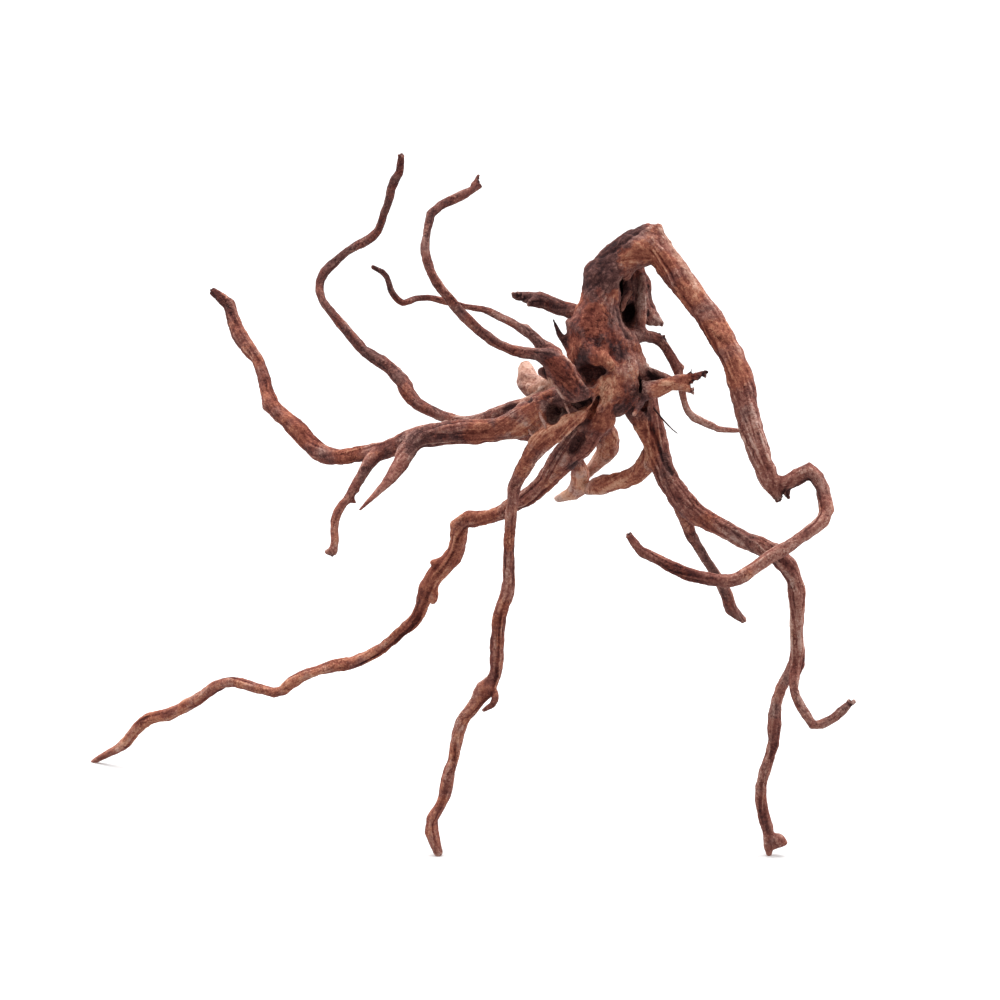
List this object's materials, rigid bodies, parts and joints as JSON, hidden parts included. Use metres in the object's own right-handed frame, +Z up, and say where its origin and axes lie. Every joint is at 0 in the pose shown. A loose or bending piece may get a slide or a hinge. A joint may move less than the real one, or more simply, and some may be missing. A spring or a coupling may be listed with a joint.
{
  "type": "spiderwood root",
  "caption": "Dried root stock with a gnarled crown, a bent-over limb and long wavy roots that it stands on, for decorating tanks and terrariums.",
  "frame": {"origin": "on the ground, under the middle of the part's bounding box", "axes": "+Z up; +X along the spread of the roots, to the right as seen from the front; -Y towards the viewer of the picture"},
  "size_m": [0.4282, 0.2522, 0.3673],
  "materials": {
    "wood": "dry, unvarnished root wood with remains of bark, matt, reddish brown with worn paler ridges and dark grooves"
  },
  "bodies": {
    "root": {"spiderwood_root": "wood"}
  },
  "joints": []
}
